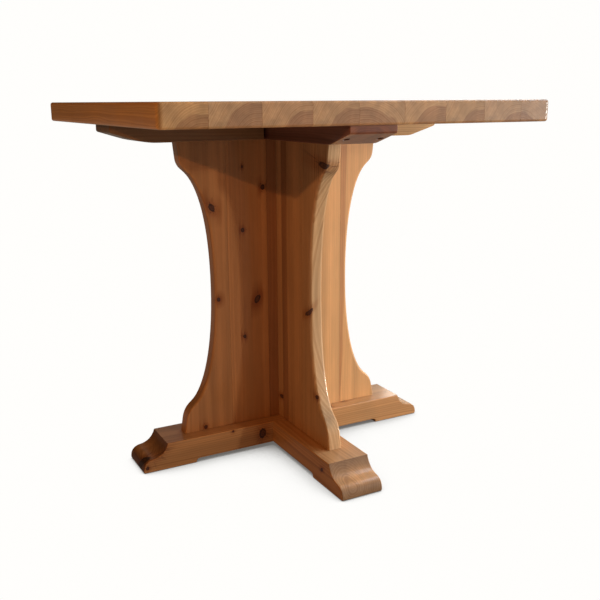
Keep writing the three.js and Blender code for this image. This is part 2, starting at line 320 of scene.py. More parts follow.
def add_box(solid, low, high):
    size = [b - a for a, b in zip(low, high)]
    middle = [(a + b) / 2 for a, b in zip(low, high)]
    place = Matrix.Translation(middle) @ Matrix.Diagonal((*size, 1))
    bmesh.ops.create_cube(solid, size=1, matrix=place)


def add_turning(solid, profile, place):
    """A solid of revolution about Z from (radius, height) points that start and end on the axis."""
    rings = []
    for radius, height in profile:
        segments = SCREW_SEGMENTS if radius > 0 else 1
        angles = [2 * math.pi * index / segments for index in range(segments)]
        around = [Vector((radius * math.cos(a), radius * math.sin(a), height)) for a in angles]
        rings.append([solid.verts.new(place @ point) for point in around])
    for ring, following in zip(rings, rings[1:]):
        for index in range(SCREW_SEGMENTS):
            corners = [
                ring[(index - 1) % len(ring)],
                ring[index % len(ring)],
                following[index % len(following)],
                following[(index - 1) % len(following)],
            ]
            solid.faces.new(dict.fromkeys(corners))


def as_object(name, solid):
    mesh = bpy.data.meshes.new(name)
    solid.to_mesh(mesh)
    solid.free()
    made = bpy.data.objects.new(name, mesh)
    bpy.context.scene.collection.objects.link(made)
    return made


def carve(piece, cutters):
    """Cuts the solids in one mesh out of a piece."""
    bmesh.ops.recalc_face_normals(cutters, faces=cutters.faces)
    tool = as_object("cutter", cutters)
    cut = piece.modifiers.new("cut", "BOOLEAN")
    cut.operation = "DIFFERENCE"
    cut.solver = "EXACT"
    cut.object = tool
    depsgraph = bpy.context.evaluated_depsgraph_get()
    piece.data = bpy.data.meshes.new_from_object(piece.evaluated_get(depsgraph))
    piece.modifiers.clear()
    bpy.data.objects.remove(tool)


def shade(piece):
    piece.data.shade_smooth()
    piece.data.set_sharp_from_angle(angle=SMOOTH_BELOW)
    weighted = piece.modifiers.new("flat faces stay flat", "WEIGHTED_NORMAL")
    weighted.keep_sharp = True


# ---- Screws ----


def screw_frame(node):
    """The matrix that puts a solid turned about Z in a screw's place, and the screw's length."""
    low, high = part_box(node)
    upwards = not node.startswith("plank")
    head = Vector(((low.x + high.x) / 2, (low.y + high.y) / 2, low.z if upwards else high.z))
    turn = Matrix.Identity(4) if upwards else Matrix.Rotation(math.pi, 4, "X")
    return Matrix.Translation(head) @ turn, high.z - low.z


def add_screw_hole(solid, node):
    """The hole for a screw. A batten's screws sink into wider bores."""
    place, length = screw_frame(node)
    head, shank = SCREW_HEAD_RADIUS + FIT_GAP, SCREW_RADIUS + FIT_GAP
    bore = BATTEN_SCREW_BORE if node.startswith("batten") else head
    profile = [
        (0, -SCREW_HEADROOM),
        (bore, -SCREW_HEADROOM),
        (bore, 0),
        (head, FIT_GAP),
        (shank, SCREW_HEAD_HEIGHT),
        (shank, length - 2 * SCREW_RADIUS),
        (0, length + FIT_GAP),
    ]
    add_turning(solid, profile, place)


def screw(node):
    """A countersunk screw with ridges for its thread and a cross recess in its head."""
    place, length = screw_frame(node)
    thread_start = length * SCREW_NECK_SHARE
    ridges = int((length - thread_start - SCREW_POINT) / SCREW_PITCH)
    profile = [
        (0, 0),
        (SCREW_HEAD_RADIUS - SCREW_HEAD_RIM, 0),
        (SCREW_HEAD_RADIUS, SCREW_HEAD_RIM),
        (SCREW_NECK_RADIUS, SCREW_HEAD_HEIGHT),
        (SCREW_NECK_RADIUS, thread_start),
    ]
    for index in range(ridges):
        ridge = thread_start + SCREW_PITCH * (index + 0.5)
        profile += [
            (SCREW_CORE_RADIUS, ridge - SCREW_PITCH * SCREW_RIDGE_HALF),
            (SCREW_RADIUS, ridge),
            (SCREW_CORE_RADIUS, ridge + SCREW_PITCH * SCREW_RIDGE_HALF),
        ]
    profile += [(SCREW_CORE_RADIUS * SCREW_TIP_START, length - SCREW_POINT), (0, length)]
    solid = bmesh.new()
    add_turning(solid, profile, Matrix.Identity(4))
    bmesh.ops.recalc_face_normals(solid, faces=solid.faces)
    piece = as_object(f"{node}_turned", solid)
    for x, y in (SCREW_RECESS_ARM, reversed(SCREW_RECESS_ARM)):
        arm = bmesh.new()
        add_box(arm, (-x, -y, -SCREW_RECESS_CLEAR), (x, y, SCREW_RECESS_DEPTH))
        carve(piece, arm)
    piece.matrix_world = place
    shade(piece)
    piece.data.materials.append(STEEL)
    finish_piece(piece, node)


def finish_piece(piece, node):
    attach(piece, "root")
    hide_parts(node)


# ---- Node graphs ----


class Graph:
    """Adds nodes to a node tree. An input is a value or another node's output."""

    def __init__(self, tree):
        self.tree = tree

    def add(self, kind, inputs=None, **settings):
        node = self.tree.nodes.new(kind)
        for name, value in settings.items():
            setattr(node, name, value)
        for key, value in (inputs or {}).items():
            if isinstance(value, bpy.types.NodeSocket):
                self.tree.links.new(value, node.inputs[key])
            else:
                node.inputs[key].default_value = value
        return node

    def math(self, operation, *values):
        node = self.add("ShaderNodeMath", dict(enumerate(values)), operation=operation)
        return node.outputs[0]

    def vector(self, operation, *values):
        node = self.add("ShaderNodeVectorMath", dict(enumerate(values)), operation=operation)
        return node.outputs["Value" if operation in ("DOT_PRODUCT", "LENGTH") else "Vector"]

    def scaled(self, vector, factor):
        node = self.add("ShaderNodeVectorMath", {0: vector, "Scale": factor}, operation="SCALE")
        return node.outputs["Vector"]

    def smooth(self, value, low, high, to_low=0.0, to_high=1.0):
        """Turns smoothly from `to_low` at `low` to `to_high` at `high`."""
        inputs = {
            "Value": value, "From Min": low, "From Max": high, "To Min": to_low, "To Max": to_high,
        }
        return self.add("ShaderNodeMapRange", inputs, interpolation_type="SMOOTHSTEP").outputs[0]

    def noise(self, vector, scale, detail=2.0, roughness=0.5):
        inputs = {"Vector": vector, "Scale": scale, "Detail": detail, "Roughness": roughness}
        return self.add("ShaderNodeTexNoise", inputs)

    def mix(self, factor, a, b, blend="MIX"):
        inputs = {0: factor, 6: a, 7: b}  # 6 and 7 are the color sockets
        node = self.add("ShaderNodeMix", inputs, data_type="RGBA", blend_type=blend, clamp_factor=True)
        return node.outputs[2]

    def tinted(self, color, tint):
        return self.mix(1.0, color, tint, "MULTIPLY")

    def surface(self, shader, inputs):
        """Ends a surface material with this shader."""
        made = self.add(shader, inputs).outputs[0]
        self.add("ShaderNodeOutputMaterial", {"Surface": made})


def group(name, inputs, outputs):
    """A node group with these sockets: (name, kind of socket) pairs."""
    tree = bpy.data.node_groups.new(name, "ShaderNodeTree")
    for way, sockets in (("INPUT", inputs), ("OUTPUT", outputs)):
        for socket, kind in sockets:
            tree.interface.new_socket(socket, in_out=way, socket_type="NodeSocket" + kind)
    graph = Graph(tree)
    return graph, graph.add("NodeGroupInput").outputs, graph.add("NodeGroupOutput").inputs


def rgb(red, green, blue):
    return red, green, blue, 1.0


# ---- Wood ----

EARLYWOOD = rgb(0.620, 0.335, 0.150)
LATEWOOD = rgb(0.420, 0.185, 0.066)
HEART_TINT = rgb(0.74, 0.66, 0.65)
BRANCH = rgb(0.150, 0.052, 0.026)
BRANCH_RIM = rgb(0.030, 0.011, 0.008)
BRANCH_HALO = rgb(0.74, 0.56, 0.44)
WORN = rgb(1.16, 1.07, 0.94)
FAR_FROM_KNOTS = 9.0  # in branch radii
KNOT_HEIGHT = 1.2  # a knot's height over its width, before its own stretch
BRANCH_RISE = 0.15  # how steeply a branch climbs on its way out
GRAIN_PARTING = 0.92  # share of its sideways place that grain gives up beside a branch
GRAIN_PARTING_SLIMNESS = 0.14  # how soon the grain closes again above and below a branch
END_RINGS = 0.62
EDGE_RINGS = 0.6
# Screw steel, kept very dark: partly its own blackened finish, partly painted shade for the screws
# deep in their bores.
RUBBED_STEEL = rgb(0.045, 0.040, 0.034)
BLACK_STEEL = rgb(0.020, 0.016, 0.012)


def knot_group():
    """Parts the grain around one branch, which grows from the pith along `Outward`.

    `Nearness` is the distance from the branch's axis in branch radii, and `Rays` are the fine
    dark lines that run out from it.
    """
    graph, given, result = group(
        "knot",
        [("Position", "Vector"), ("Outward", "Vector"), ("Across", "Vector"), ("Reach", "Float"),
         ("Height", "Float"), ("Radius", "Float"), ("Wide", "Float"), ("Lean", "Float")],
        [("Position", "Vector"), ("Nearness", "Float"), ("Rays", "Float")],
    )
    position = given["Position"]
    outward = graph.vector("DOT_PRODUCT", position, given["Outward"])
    across = graph.vector("DOT_PRODUCT", position, given["Across"])
    grown = graph.math("MAXIMUM", graph.math("DIVIDE", outward, given["Reach"]), 0.05)
    radius = graph.math("MULTIPLY", grown, given["Radius"])
    along = graph.add("ShaderNodeSeparateXYZ", {0: position}).outputs["Z"]
    rise = graph.math("MULTIPLY", graph.math("SUBTRACT", outward, given["Reach"]), BRANCH_RISE)
    height = graph.math("SUBTRACT", along, graph.math("ADD", given["Height"], rise))
    height = graph.math("ADD", height, graph.math("MULTIPLY", across, given["Lean"]))
    side_ratio = graph.math("DIVIDE", across, graph.math("MULTIPLY", radius, given["Wide"]))
    height_ratio = graph.math("DIVIDE", height, graph.math("MULTIPLY", radius, KNOT_HEIGHT))
    side_square = graph.math("MULTIPLY", side_ratio, side_ratio)
    height_square = graph.math("MULTIPLY", height_ratio, height_ratio)
    nearness = graph.math("SQRT", graph.math("ADD", side_square, height_square))
    slimmed = graph.math("MULTIPLY", height_square, GRAIN_PARTING_SLIMNESS)
    stretched = graph.math("ADD", side_square, slimmed)
    parting = graph.math("DIVIDE", GRAIN_PARTING, graph.math("MAXIMUM", stretched, 1.0))
    compass = graph.add("ShaderNodeCombineXYZ", {0: side_ratio, 1: height_ratio, 2: given["Height"]})
    compass = graph.vector("NORMALIZE", compass.outputs[0])
    spokes = graph.noise(graph.vector("ADD", compass, given["Position"]), 3.6, 2.0, 0.6).outputs[0]
    fade = graph.smooth(nearness, 1.2, 3.4, 0.7, 0.0)
    rays = graph.math("MULTIPLY", graph.smooth(spokes, 0.60, 0.68), fade)
    graph.tree.links.new(rays, result["Rays"])
    shift = graph.scaled(given["Across"], graph.math("MULTIPLY", across, parting))
    graph.tree.links.new(graph.vector("SUBTRACT", position, shift), result["Position"])
    graph.tree.links.new(nearness, result["Nearness"])
    return graph.tree


def face_kinds(graph):
    """How much a face is end grain, and how much it looks across the piece."""
    normal = graph.add("ShaderNodeTexCoord").outputs["Normal"]
    facing = graph.add("ShaderNodeSeparateXYZ", {0: graph.vector("ABSOLUTE", normal)}).outputs
    return graph.smooth(facing["Z"], 0.25, 0.95), graph.smooth(facing["X"], 0.45, 0.85)


def centred(graph, color, reach):
    """A noise's color as a shift to either side, over this reach in metres."""
    return graph.scaled(graph.vector("SUBTRACT", color, (0.5, 0.5, 0.5)), reach)


def latewood_share(graph, given, end, edge, slow):
    """The dark share of each year's ring, and the distance from the pith."""
    quick = graph.noise(graph.vector("MULTIPLY", given["Position"], (70.0, 70.0, 6.0)), 1.0)
    wander = centred(graph, slow.outputs["Color"], 0.016)
    tremble = centred(graph, quick.outputs["Color"], 0.0018)
    strayed = graph.vector("ADD", given["Parted Position"], graph.vector("ADD", wander, tremble))
    radius = graph.vector("LENGTH", graph.vector("MULTIPLY", strayed, (1.0, 1.0, 0.0)))

    # No two years' rings are equally wide or equally dark.
    counted = graph.math("DIVIDE", radius, given["Ring Spacing"])
    inputs = {"W": counted, "Scale": 0.45, "Detail": 1.0}
    uneven = graph.add("ShaderNodeTexNoise", inputs, noise_dimensions="1D").outputs[0]
    counted = graph.math("ADD", counted, graph.math("MULTIPLY", uneven, 1.2))
    year = {"W": graph.math("FLOOR", counted)}
    darkness = graph.add("ShaderNodeTexWhiteNoise", year, noise_dimensions="1D").outputs["Value"]
    strength = graph.smooth(darkness, 0.0, 1.0, 0.45, 1.0)

    # Rings stand out most on end grain and beside a knot.
    beside_knot = graph.smooth(given["Nearness"], 1.5, 7.0, 0.9, 0.0)
    contrast = graph.math("MAXIMUM", beside_knot, graph.math("MULTIPLY", end, END_RINGS))
    contrast = graph.math("MAXIMUM", given["Ring Contrast"], contrast)
    contrast = graph.math("MAXIMUM", contrast, graph.math("MULTIPLY", edge, EDGE_RINGS))
    strength = graph.math("MULTIPLY", strength, contrast)

    # On end grain the pale start of each ring is only a fine line.
    season = graph.math("FRACT", counted)
    hardens_from = graph.smooth(end, 0.0, 1.0, 0.15, 0.06)
    hardens_by = graph.smooth(end, 0.0, 1.0, 0.60, 0.34)
    hardening = graph.smooth(season, hardens_from, hardens_by)
    thaw = graph.smooth(season, 0.84, 0.98, 1.0, 0.0)
    late = graph.math("MULTIPLY", graph.math("MULTIPLY", hardening, thaw), strength)
    return late, radius


def heartwood(graph, given, end, slow, radius):
    """The tint of the wood nearest the pith, inside an uneven border."""
    border = graph.math("MULTIPLY", graph.math("SUBTRACT", slow.outputs[0], 0.5), 0.03)
    inside = graph.math("SUBTRACT", given["Heart Radius"], graph.math("ADD", radius, border))
    share = graph.smooth(end, 0.0, 1.0, 1.0, 0.92)
    return graph.mix(graph.smooth(inside, -0.0012, 0.0012, 0.0, share), rgb(1, 1, 1), HEART_TINT)


def grain_noise(graph, position, across, along, detail, roughness=0.5):
    """Noise drawn out along the grain, with one scale across the grain and another along it."""
    stretched = graph.vector("MULTIPLY", position, (across, across, along))
    return graph.noise(stretched, 1.0, detail, roughness).outputs[0]


def knotted(graph, given, color):
    """A color with knots: a brown branch with its own rings, a black rim, rays and a halo."""
    lumps = graph.noise(given["Position"], 260.0, 1.0).outputs[0]
    ragged = graph.math("ADD", given["Nearness"], graph.math("MULTIPLY", lumps, 0.6))
    halo = graph.smooth(ragged, 1.2, 3.4, 0.85, 0.0)
    color = graph.mix(halo, color, graph.tinted(color, BRANCH_HALO))
    color = graph.mix(given["Rays"], color, BRANCH)
    branch_rings = graph.math("SINE", graph.math("MULTIPLY", ragged, 14.0))
    branch = graph.mix(graph.smooth(branch_rings, -1.0, 1.0, 0.0, 0.5), BRANCH, BRANCH_RIM)
    color = graph.mix(graph.smooth(ragged, 1.0, 1.35, 1.0, 0.0), color, branch)
    rim = graph.math("ABSOLUTE", graph.math("SUBTRACT", ragged, 1.1))
    return graph.mix(graph.smooth(rim, 0.08, 0.32, 0.8, 0.0), color, BRANCH_RIM)


def pine_group():
    """Varnished pine in tree coordinates: the pith on the Z axis, the grain along it."""
    graph, given, result = group(
        "pine",
        [("Position", "Vector"), ("Parted Position", "Vector"), ("Nearness", "Float"),
         ("Rays", "Float"), ("Ring Spacing", "Float"), ("Ring Contrast", "Float"),
         ("Heart Radius", "Float"), ("Tone", "Color"), ("Edge Tint", "Color"),
         ("End Tint", "Color")],
        [("Color", "Color"), ("Roughness", "Float"), ("Coat Weight", "Float"), ("Height", "Float")],
    )
    link = graph.tree.links.new
    position = given["Position"]
    end, edge = face_kinds(graph)
    slow = graph.noise(graph.vector("MULTIPLY", position, (14.0, 14.0, 2.2)), 1.0)
    late, radius = latewood_share(graph, given, end, edge, slow)
    heart = heartwood(graph, given, end, slow, radius)
    color = graph.tinted(graph.mix(late, EARLYWOOD, LATEWOOD), heart)

    # Fibres, streaks, bands and stain, from fine to broad.
    fibres = grain_noise(graph, position, 900.0, 22.0, 3.0, 0.6)
    streaks = grain_noise(graph, position, 120.0, 2.0, 2.0)
    bands = grain_noise(graph, position, 36.0, 0.8, 1.0)
    stain = grain_noise(graph, position, 22.0, 7.0, 3.0)
    fibre_tone = graph.smooth(fibres, 0.3, 0.7, 0.95, 1.04)
    streak_tone = graph.smooth(streaks, 0.25, 0.75, 0.93, 1.06)
    band_tone = graph.smooth(bands, 0.3, 0.7, 0.88, 1.12)
    stain_tone = graph.smooth(stain, 0.25, 0.75, 0.94, 1.06)
    tone = graph.math("MULTIPLY", fibre_tone, graph.math("MULTIPLY", streak_tone, stain_tone))
    tone = graph.math("MULTIPLY", tone, band_tone)
    grey = graph.add("ShaderNodeCombineXYZ", {0: tone, 1: tone, 2: tone}).outputs[0]
    color = graph.tinted(color, given["Tone"])
    color = graph.mix(edge, color, graph.tinted(color, given["Edge Tint"]))
    color = graph.tinted(color, grey)

    color = knotted(graph, given, color)
    color = graph.mix(end, color, graph.tinted(color, given["End Tint"]))
    wear = graph.add("ShaderNodeAttribute", attribute_name="wear").outputs["Fac"]
    worn = graph.math("MULTIPLY", wear, graph.smooth(streaks, 0.3, 0.6, 0.4, 1.0))
    link(graph.mix(worn, color, graph.tinted(color, WORN)), result["Color"])

    # End grain drinks its varnish, so it shines less.
    smudge = graph.noise(position, 9.0, 3.0).outputs[0]
    gloss = graph.smooth(smudge, 0.3, 0.7, 0.40, 0.52)
    link(graph.math("ADD", gloss, graph.math("MULTIPLY", end, 0.10)), result["Roughness"])
    link(graph.smooth(end, 0.0, 1.0, 0.50, 0.15), result["Coat Weight"])
    relief = graph.math("ADD", graph.math("MULTIPLY", late, 0.6), graph.math("MULTIPLY", fibres, 0.5))
    evenness = graph.smooth(end, 0.0, 0.5, 1.0, 0.15)
    link(graph.math("MULTIPLY", relief, evenness), result["Height"])
    return graph.tree


@dataclass
class Knot:
    """A branch cut across: its place on the surface in the table's frame, and its shape."""

    place: tuple
    radius: float
    wide: float = 1.0  # how much it is stretched across the grain
    lean: float = 0.0  # rise for each metre across


@dataclass
class Wood:
    """How a piece was sawn: where the pith ran, seen along the grain, and what the wood is like.

    `pith` is across the piece and through it, from the middle of its section.
    """

    pith: tuple
    heart: float = 0.0
    rings: float = 0.0040
    # tone, edge and end tints give the wood's own colour, and on the pieces marked below also painted
    # light or shade
    tone: tuple = (1.0, 1.0, 1.0)
    contrast: float = 0.25  # of the rings on long-grain faces
    edge: tuple = (1.0, 1.0, 1.0)  # tint of the two faces that look across the piece
    end: tuple = (0.76, 0.84, 0.93)  # tint of the end grain, which drinks more varnish; on some pieces darkened further as painted shade
    knots: tuple = ()


def new_material(name):
    """An empty node material, with the graph that fills it."""
    material = bpy.data.materials.new(name)
    material.use_nodes = True
    material.node_tree.nodes.clear()
    return material, Graph(material.node_tree)


def grow_knots(graph, position, wood, grain):
    """Parts the grain around each knot in turn, and finds the nearest one."""
    parted, nearness, rays = position, FAR_FROM_KNOTS, 0.0
    to_tree = grain.inverted()
    for spot in wood.knots:
        point = to_tree @ Vector(spot.place)
        reach = Vector((point.x, point.y)).length
        knot = graph.add("ShaderNodeGroup", {
            "Position": parted,
            "Outward": (point.x / reach, point.y / reach, 0.0),
            "Across": (point.y / reach, -point.x / reach, 0.0),
            "Reach": reach,
            "Height": point.z,
            "Radius": spot.radius,
            "Wide": spot.wide,
            "Lean": spot.lean,
        }, node_tree=KNOT).outputs
        parted = knot["Position"]
        nearness = graph.math("MINIMUM", nearness, knot["Nearness"])
        rays = graph.math("MAXIMUM", rays, knot["Rays"])
    return {"Parted Position": parted, "Nearness": nearness, "Rays": rays}


def wood_material(name, wood, grain):
    """The pine of one piece, whose `grain` matrix takes tree coordinates to the table's frame."""
    material, graph = new_material(name)
    position = graph.add("ShaderNodeTexCoord").outputs["Object"]
    pine = graph.add("ShaderNodeGroup", {
        "Position": position,
        **grow_knots(graph, position, wood, grain),
        "Ring Spacing": wood.rings,
        "Ring Contrast": wood.contrast,
        "Heart Radius": wood.heart,
        "Tone": rgb(*wood.tone),
        "Edge Tint": rgb(*wood.edge),
        "End Tint": rgb(*wood.end),
    }, node_tree=PINE).outputs
    bump = {"Height": pine["Height"], "Strength": 0.18, "Distance": 0.0003}
    graph.surface("ShaderNodeBsdfPrincipled", {
        "Base Color": pine["Color"],
        "Roughness": pine["Roughness"],
        "Normal": graph.add("ShaderNodeBump", bump).outputs[0],
        "IOR": 1.5,
        "Specular IOR Level": 0.4,
        "Coat Weight": pine["Coat Weight"],
        "Coat Roughness": 0.11,
    })
    return material


def steel_material():
    """Blackened steel, rubbed in places, and kept very dark: partly its own finish, partly painted
    shade for the screws deep in their bores.
    """
    material, graph = new_material("screw_steel")
    position = graph.add("ShaderNodeTexCoord").outputs["Object"]
    tarnish = graph.noise(position, 700.0, 3.0).outputs[0]
    turning = graph.noise(graph.vector("MULTIPLY", position, (200.0, 200.0, 5000.0)), 1.0).outputs[0]
    bump = {"Height": turning, "Strength": 0.2, "Distance": 0.0002}
    graph.surface("ShaderNodeBsdfPrincipled", {
        "Base Color": graph.mix(graph.smooth(tarnish, 0.35, 0.7), RUBBED_STEEL, BLACK_STEEL),
        "Metallic": 0.9,
        "Roughness": graph.smooth(tarnish, 0.3, 0.7, 0.40, 0.65),
        "Normal": graph.add("ShaderNodeBump", bump).outputs[0],
    })
    return material


def grain_matrix(across, through, middle, wood):
    """Tree coordinates to the table's frame: X across the piece, Y through it, Z along it."""
    across, through = Vector(across), Vector(through)
    along = across.cross(through)
    origin = Vector(middle) + across * wood.pith[0] + through * wood.pith[1]
    matrix = Matrix((across, through, along)).transposed().to_4x4()
    matrix.translation = origin
    return matrix


def wooden_piece(node, solid, cutters, grain, wood, slot):
    """Finishes a board in the table's frame as the piece that stands for a CAD node."""
    piece = as_object(f"{node}_board", solid)
    if cutters:
        carve(piece, cutters)
    piece.data.transform(grain.inverted())
    piece.matrix_world = grain
    shade(piece)
    piece.data.materials.append(wood_material(f"{slot}_{node}", wood, grain))
    finish_piece(piece, node)


# ---- How each piece was sawn ----

X, Y, Z = Vector((1, 0, 0)), Vector((0, 1, 0)), Vector((0, 0, 1))

TOP_WOOD = [
    # The first stave's edge tint is painted light: it lightens the top's left side beyond the wood's
    # own colour.
    Wood((0.040, -0.063), 0.066, 0.0032, (1.04, 1.02, 0.90), edge=(1.35, 1.26, 0.95)),
    Wood((0.044, -0.047), 0.066, 0.0027, (0.98, 1.00, 1.02)),
    Wood((0.044, -0.044), 0.052, 0.0031, (1.00, 0.98, 0.98)),
    Wood((0.043, -0.048), 0.059, 0.0029, (1.00, 1.00, 1.00)),
    Wood((-0.030, -0.057), 0.068, 0.0033, (1.10, 1.11, 1.12)),
    Wood((0.043, -0.071), 0.084, 0.0031, (1.08, 1.10, 1.12)),
    Wood((0.043, -0.047), 0.054, 0.0030, (1.00, 1.02, 1.04)),
    Wood((0.042, -0.046), 0.046, 0.0031, (0.98, 1.03, 1.18)),
    Wood((-0.035, -0.053), 0.055, 0.0030, (0.97, 1.03, 1.26)),
]

FRONT = PLANK_LOW.y  # plank a's front face
LEFT = -PLANK_HIGH.y  # plank b's left face

PLANK_A_WOOD = [
    Wood((0.030, 0.075), 0.0, 0.0060, (0.97, 0.86, 0.74), knots=(
        Knot((-0.159, FRONT, 0.524), 0.0066, lean=-0.5),
        Knot((-0.150, FRONT, 0.334), 0.0036),
        Knot((-0.188, FRONT, 0.061), 0.0036),
    )),
    Wood((0.020, 0.062), 0.055, 0.0050, (1.02, 0.88, 0.74), knots=(
        Knot((-0.062, FRONT, 0.325), 0.0070, lean=0.5),
        Knot((-0.092, FRONT, 0.474), 0.0038),
        Knot((-0.046, FRONT, 0.559), 0.0046),
        Knot((-0.090, FRONT, 0.602), 0.0028, wide=0.7),
        Knot((-0.092, FRONT, 0.247), 0.0034),
    )),
    Wood((-0.070, 0.030), 0.090, 0.0060, (0.98, 0.88, 0.80)),
    # The two right staves are lighter and paler: partly their own wood, partly a painted sheen for the
    # light on this half of the plank.
    Wood((-0.120, 0.060), 0.0, 0.0044, (1.22, 1.26, 1.22)),
    Wood((-0.058, 0.005), 0.0294, 0.0042, (1.20, 1.22, 1.16)),
]

PLANK_B_WOOD = [
    # The first stave's edge tint is a painted sheen: it pales and cools the plank's front edge where
    # the varnish catches the light.
    Wood((-0.080, 0.060), 0.0, 0.0060, (1.02, 1.02, 1.00), edge=(1.0, 1.15, 1.32), knots=(
        Knot((LEFT, -0.213, 0.614), 0.0050, wide=2.4),
        Knot((LEFT, -0.158, 0.321), 0.0042, wide=1.6, lean=-1.2),
        Knot((LEFT, -0.186, 0.151), 0.0032),
    )),
    Wood((0.050, 0.012), 0.0285, 0.0050, (1.00, 0.96, 0.90)),
    Wood((0.090, 0.060), 0.0, 0.0048, (1.06, 1.04, 0.98), knots=(
        Knot((LEFT, -0.030, 0.103), 0.0036),
    )),
    Wood((-0.060, 0.070), 0.0, 0.0050, (1.0, 0.98, 0.95)),
    Wood((0.060, 0.060), 0.0, 0.0046, (1.0, 1.0, 1.0)),
]

FOOT_A_WOOD = Wood(
    # Its end tint, far darker than the wood's own, is painted shade for the left toe, which gets
    # little light; it darkens the right end too.
    (0.012, -0.075), 0.060, 0.0042, (0.98, 0.95, 0.86), end=(0.42, 0.38, 0.38),
    knots=(
        Knot((-0.070, FOOT_LOW.y, 0.032), 0.0066),
        Knot((-0.139, FOOT_LOW.y, 0.050), 0.0022, wide=0.6),
        Knot((-0.328, FOOT_LOW.y, 0.011), 0.0030),
        # A real knot on the left toe, drawn large enough to darken the toe as well: partly painted
        # shade.
        Knot((FOOT_LOW.x, -0.024, 0.016), 0.0125, wide=0.7),
        Knot((0.152, -0.013, FOOT_HIGH.z), 0.0045),
        Knot((0.107, -0.030, FOOT_HIGH.z), 0.0038),
    ),
)
FOOT_B_WOOD = Wood(
    # Its tone is lighter than the other pieces': partly its own paler wood, partly a painted highlight
    # for the light on its top.
    (0.020, -0.009), 0.0, 0.0046, (1.24, 1.24, 1.18), contrast=0.6,
    # Its edge tint is painted shade: it darkens and warms the foot's sides.
    edge=(0.86, 0.74, 0.56), end=(0.40, 0.42, 0.48),
    knots=(Knot((FOOT_LOW.y, -0.258, 0.032), 0.0038, lean=-0.6),),
)
# Its tone is halved as painted shade: this batten's front sits under the top and in batten b's shadow.
BATTEN_LEFT_WOOD = Wood((0.030, 0.060), 0.0, 0.0042, (0.50, 0.50, 0.50))
BATTEN_RIGHT_WOOD = Wood((-0.040, 0.055), 0.0, 0.0042, (1.03, 1.03, 0.70))
BATTEN_B_WOOD = Wood(
    (0.010, -0.050), 0.060, 0.0038, (0.92, 0.82, 0.90),
    # Its edge and end tints are painted shade: the top's shadow on its left side, and shade on its
    # ends.
    edge=(0.48, 0.39, 0.49), end=(0.38, 0.23, 0.13),
)

# ---- Pieces ----


def make_top():
    """The top's staves, each cut from the whole rounded slab."""
    outline = top_outline()
    for node, wood in zip(TOP_STAVES, TOP_WOOD):
        low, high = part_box(node)
        stave = board(outline, TOP_HIGH.z - TOP_LOW.z, [TOP_ARRIS] * len(outline))
        middle = Matrix.Translation((0, 0, (TOP_LOW.z + TOP_HIGH.z) / 2))
        stave.transform(middle @ Matrix.Rotation(-math.pi / 2, 4, "X"))
        trim(stave, 0, low.x, high.x)
        holes = bmesh.new()
        for screw_node in screws("a", "batten") + screws("b", "batten"):
            place, _ = screw_frame(screw_node)
            if low.x - SCREW_HEAD_RADIUS < place.translation.x < high.x + SCREW_HEAD_RADIUS:
                add_screw_hole(holes, screw_node)
        centre = (low + high) / 2
        grain = grain_matrix(X, Z, (centre.x, 0, centre.z), wood)
        wooden_piece(node, stave, holes, grain, wood, "top_pine")


def make_plank(way, woods, slot_from, slot_to):
    """A plank of the column with the slot that halves it into the other plank."""
    turn = TURN[way]
    outline = plank_outline()
    arrises = [plank_arris(point.y) for point in outline]
    for node, wood in zip(PLANK_STAVES[way], woods):
        low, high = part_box(node)
        near, far = (low.x, high.x) if way == "a" else (low.y, high.y)
        stave = board(outline, PLANK_THICKNESS, arrises)
        trim(stave, 2, PLANK_LOW.z, PLANK_HIGH.z)
        trim(stave, 0, near, far)
        stave.transform(turn)
        cutters = bmesh.new()
        half = PLANK_THICKNESS / 2 + FIT_GAP
        if near < 0 < far:
            add_box(cutters, (-half, -half, slot_from), (half, half, slot_to))
        for screw_node in screws(way, "plank", "foot"):
            place, _ = screw_frame(screw_node)
            if near < (turn.inverted() @ place.translation).x < far:
                add_screw_hole(cutters, screw_node)
        across, through = (X, Y) if way == "a" else (Y, -X)
        centre = (low + high) / 2
        grain = grain_matrix(across, through, (centre.x, centre.y, 0), wood)
        wooden_piece(node, stave, cutters, grain, wood, "plank_pine")


def make_foot(way, wood, notch_from, notch_to):
    """A foot with the notch that halves it into the other foot."""
    node = f"foot_{way}"
    outline = foot_outline()
    bar = board(outline, FOOT_WIDTH, [FOOT_ARRIS] * len(outline))
    bar.transform(TURN[way])
    half = FOOT_WIDTH / 2 + FIT_GAP
    cutters = bmesh.new()
    add_box(cutters, (-half, -half, notch_from), (half, half, notch_to))
    for screw_node in screws(way, "foot"):
        add_screw_hole(cutters, screw_node)
    across = Y if way == "a" else -X
    grain = grain_matrix(across, Z, (0, 0, FOOT_HIGH.z / 2), wood)
    wooden_piece(node, bar, cutters, grain, wood, "foot_pine")


def make_batten(node, way, wood):
    """A batten under the top, or the part of it that its CAD node spans."""
    low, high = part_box(node)
    centre = (low + high) / 2
    length, width = (0, 1) if way == "a" else (1, 0)
    near, far = low[length], high[length]
    outline = batten_outline(max(-near, far), BATTEN_EASE[node])
    bar = board(outline, high[width] - low[width], [BATTEN_ARRIS] * len(outline))
    trim(bar, 0, near, far)
    centre[length] = 0
    bar.transform(Matrix.Translation((centre.x, centre.y, 0)) @ TURN[way])
    cutters = bmesh.new()
    for screw_node in screws(way, "batten", "plank"):
        add_screw_hole(cutters, screw_node)
    across = Y if way == "a" else -X
    grain = grain_matrix(across, Z, centre, wood)
    wooden_piece(node, bar, cutters, grain, wood, "batten_pine")


KNOT = knot_group()
PINE = pine_group()
STEEL = steel_material()

